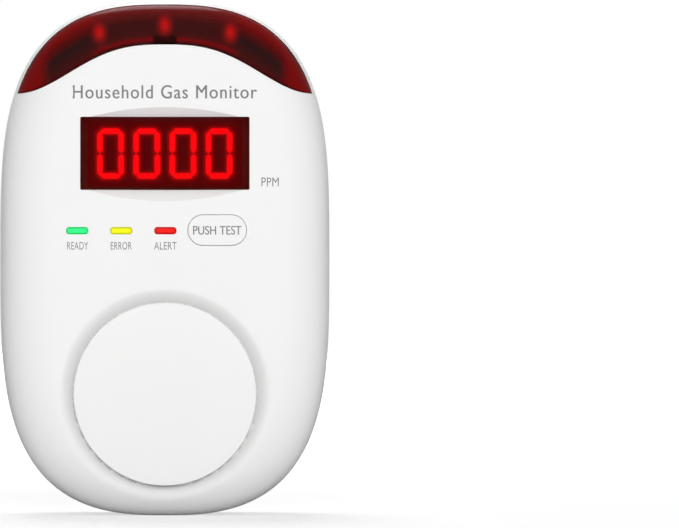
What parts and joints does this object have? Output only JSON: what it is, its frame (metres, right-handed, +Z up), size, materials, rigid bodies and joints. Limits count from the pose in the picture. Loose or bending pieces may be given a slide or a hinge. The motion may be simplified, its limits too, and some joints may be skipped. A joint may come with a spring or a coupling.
{
  "type": "carbon monoxide detector",
  "caption": "Plug-in carbon monoxide detector with a rounded white case, red alarm lens, lit digital display, indicator lights, test button and a turning two-blade plug head.",
  "frame": {"origin": "on the plug's axis, in the plane of the collar's flat end, which bears on the wall outlet", "axes": "+Z up, +Y towards the wall along the plug's blades, -Y out of the front, +X to the right seen from the front"},
  "size_m": [0.066, 0.0503, 0.103],
  "materials": {
    "front_plastic": "white moulded plastic, satin",
    "rear_plastic": "white moulded plastic, satin",
    "plug_plastic": "white moulded plastic, satin",
    "red_lens": "deep red translucent plastic, gloss",
    "dark_red_window": "dark red transparent plastic, gloss",
    "lit_segments": "bright red lit segments",
    "green_light": "green translucent plastic, lit",
    "yellow_light": "yellow translucent plastic, lit",
    "red_light": "red translucent plastic, lit",
    "black_plastic": "black moulded plastic",
    "board_laminate": "green solder mask over glass-fibre laminate",
    "led_epoxy": "red tinted epoxy",
    "led_ceramic": "white package with a clear top",
    "sounder_brass": "thin brass disc with a ceramic layer",
    "sensor_steel": "drawn steel can",
    "filter_disc": "pressed fibre",
    "chip_epoxy": "black epoxy",
    "yellow_plastic": "yellow potted box",
    "can_sleeve": "dark shrink sleeve",
    "blue_epoxy": "blue epoxy dip",
    "fuse_ceramic": "white ceramic body",
    "ferrite": "dark ferrite core and wound bobbin",
    "holder_plastic": "cream heat-proof plastic",
    "contact_brass": "sprung brass strip",
    "blade_nickel": "nickel-plated brass",
    "spring_steel": "spring wire",
    "tinned_steel": "tinned steel",
    "dark_screw": "blackened steel",
    "label_film": "white printed film"
  },
  "bodies": {
    "housing": {"front_shell": "front_plastic", "rear_shell": "rear_plastic", "alarm_lens": "red_lens", "lens_block": "black_plastic", "display_window": "dark_red_window", "display_module": "black_plastic", "display_segments": "lit_segments", "green_indicator": "green_light", "yellow_indicator": "yellow_light", "red_indicator": "red_light", "tact_switch": "tinned_steel", "circuit_board": "board_laminate", "alarm_leds": "led_epoxy", "indicator_leds": "led_ceramic", "sounder_cup": "black_plastic", "sounder_disc": "sounder_brass", "co_sensor": "sensor_steel", "sensor_filter": "filter_disc", "microcontroller": "chip_epoxy", "mains_capacitor": "yellow_plastic", "electrolytic_capacitors": "can_sleeve", "varistor": "blue_epoxy", "fuse": "fuse_ceramic", "transformer": "ferrite", "contact_holder": "holder_plastic", "plug_contacts": "contact_brass", "release_spring": "spring_steel", "case_screw": "dark_screw", "board_screws": "tinned_steel", "rating_label": "label_film"},
    "button": {"test_button": "front_plastic"},
    "stem": {"switch_stem": "black_plastic"},
    "plug": {"plug_head": "plug_plastic", "plug_blades": "blade_nickel"},
    "release": {"release_button": "rear_plastic"}
  },
  "joints": [
    {"name": "button_press", "type": "slide", "parent": "housing", "child": "button", "axis": [0, 1, 0], "range_m": [0, 0.0005], "stiffness_N_per_m": 600, "springref_m": -0.0005},
    {"name": "stem_press", "type": "slide", "parent": "housing", "child": "stem", "axis": [0, 1, 0], "range_m": [0, 0.00025]},
    {"name": "plug_turn", "type": "hinge", "parent": "housing", "child": "plug", "pos_m": [0, 0, 0], "axis": [0, 1, 0], "range_deg": [0, 45]},
    {"name": "release_press", "type": "slide", "parent": "housing", "child": "release", "axis": [0, -1, 0], "range_m": [0, 0.0015], "stiffness_N_per_m": 400, "springref_m": -0.0005, "deforming": ["release_spring"]}
  ],
  "couplings": [
    {"joint": "stem_press", "follows": "button_press", "ratio": 0.5}
  ]
}
